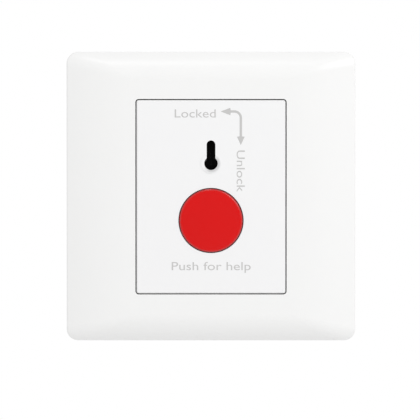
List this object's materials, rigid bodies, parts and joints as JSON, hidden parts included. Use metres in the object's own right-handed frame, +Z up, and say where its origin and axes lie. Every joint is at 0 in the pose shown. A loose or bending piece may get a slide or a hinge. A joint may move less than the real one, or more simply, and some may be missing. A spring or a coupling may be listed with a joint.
{
  "type": "emergency call switch",
  "caption": "Square wall-mounted call switch with a red latching push button, a key release, a clip-fit cover frame and screw terminals at the back.",
  "frame": {"origin": "on the wall face of the mounting plate, midway between its two fixing slots", "axes": "+X to the right seen from the room, +Y into the wall, +Z up"},
  "size_m": [0.086, 0.0352, 0.086],
  "materials": {
    "cover_white": "satin white polycarbonate",
    "panel_white": "satin white polycarbonate",
    "bracket_white": "plain moulded white",
    "button_red": "glossy red",
    "plunger_white": "natural acetal",
    "housing_black": "black moulded nylon",
    "carrier_grey": "dark grey moulded nylon",
    "key_black": "black acetal",
    "spring_steel": "bright spring wire",
    "latch_steel": "stamped zinc-plated steel",
    "screw_steel": "zinc-plated",
    "terminal_brass": "stamped brass",
    "contact_silver": "silver contact"
  },
  "bodies": {
    "wall_unit": {"cover_frame": "cover_white", "front_panel": "panel_white", "mounting_plate": "bracket_white", "switch_housing": "housing_black", "contact_carrier": "carrier_grey", "rear_cover": "housing_black", "return_spring": "spring_steel", "latch_spring": "spring_steel", "common_blade": "terminal_brass", "blade_contact": "contact_silver", "common_terminal": "terminal_brass", "nc_terminal": "terminal_brass", "no_terminal": "terminal_brass", "nc_contact": "contact_silver", "no_contact": "contact_silver", "blade_rivet": "terminal_brass", "terminal_screws": "screw_steel", "terminal_washers": "screw_steel", "case_screws": "screw_steel", "cover_screws": "screw_steel"},
    "button": {"button_cap": "button_red", "button_plunger": "plunger_white"},
    "key_barrel": {"key_rotor": "key_black", "latch_cam": "plunger_white", "cam_screw": "screw_steel"},
    "latch": {"latch_plate": "latch_steel"}
  },
  "joints": [
    {"name": "button_press", "type": "slide", "parent": "wall_unit", "child": "button", "axis": [0, 1, 0], "range_m": [0, 0.0032], "stiffness_N_per_m": 400, "springref_m": -0.0025, "deforming": ["return_spring", "common_blade", "blade_contact"]},
    {"name": "key_turn", "type": "hinge", "parent": "wall_unit", "child": "key_barrel", "pos_m": [0, -0.0049, 0.00995], "axis": [0, 1, 0], "range_deg": [0, 90]},
    {"name": "latch_slide", "type": "slide", "parent": "wall_unit", "child": "latch", "axis": [0, 0, -1], "range_m": [0, 0.0006], "stiffness_N_per_m": 400, "springref_m": -0.001, "deforming": ["latch_spring"]}
  ],
  "couplings": [
    {"joint": "key_turn", "follows": "latch_slide", "rad_per_m": 2617}
  ]
}
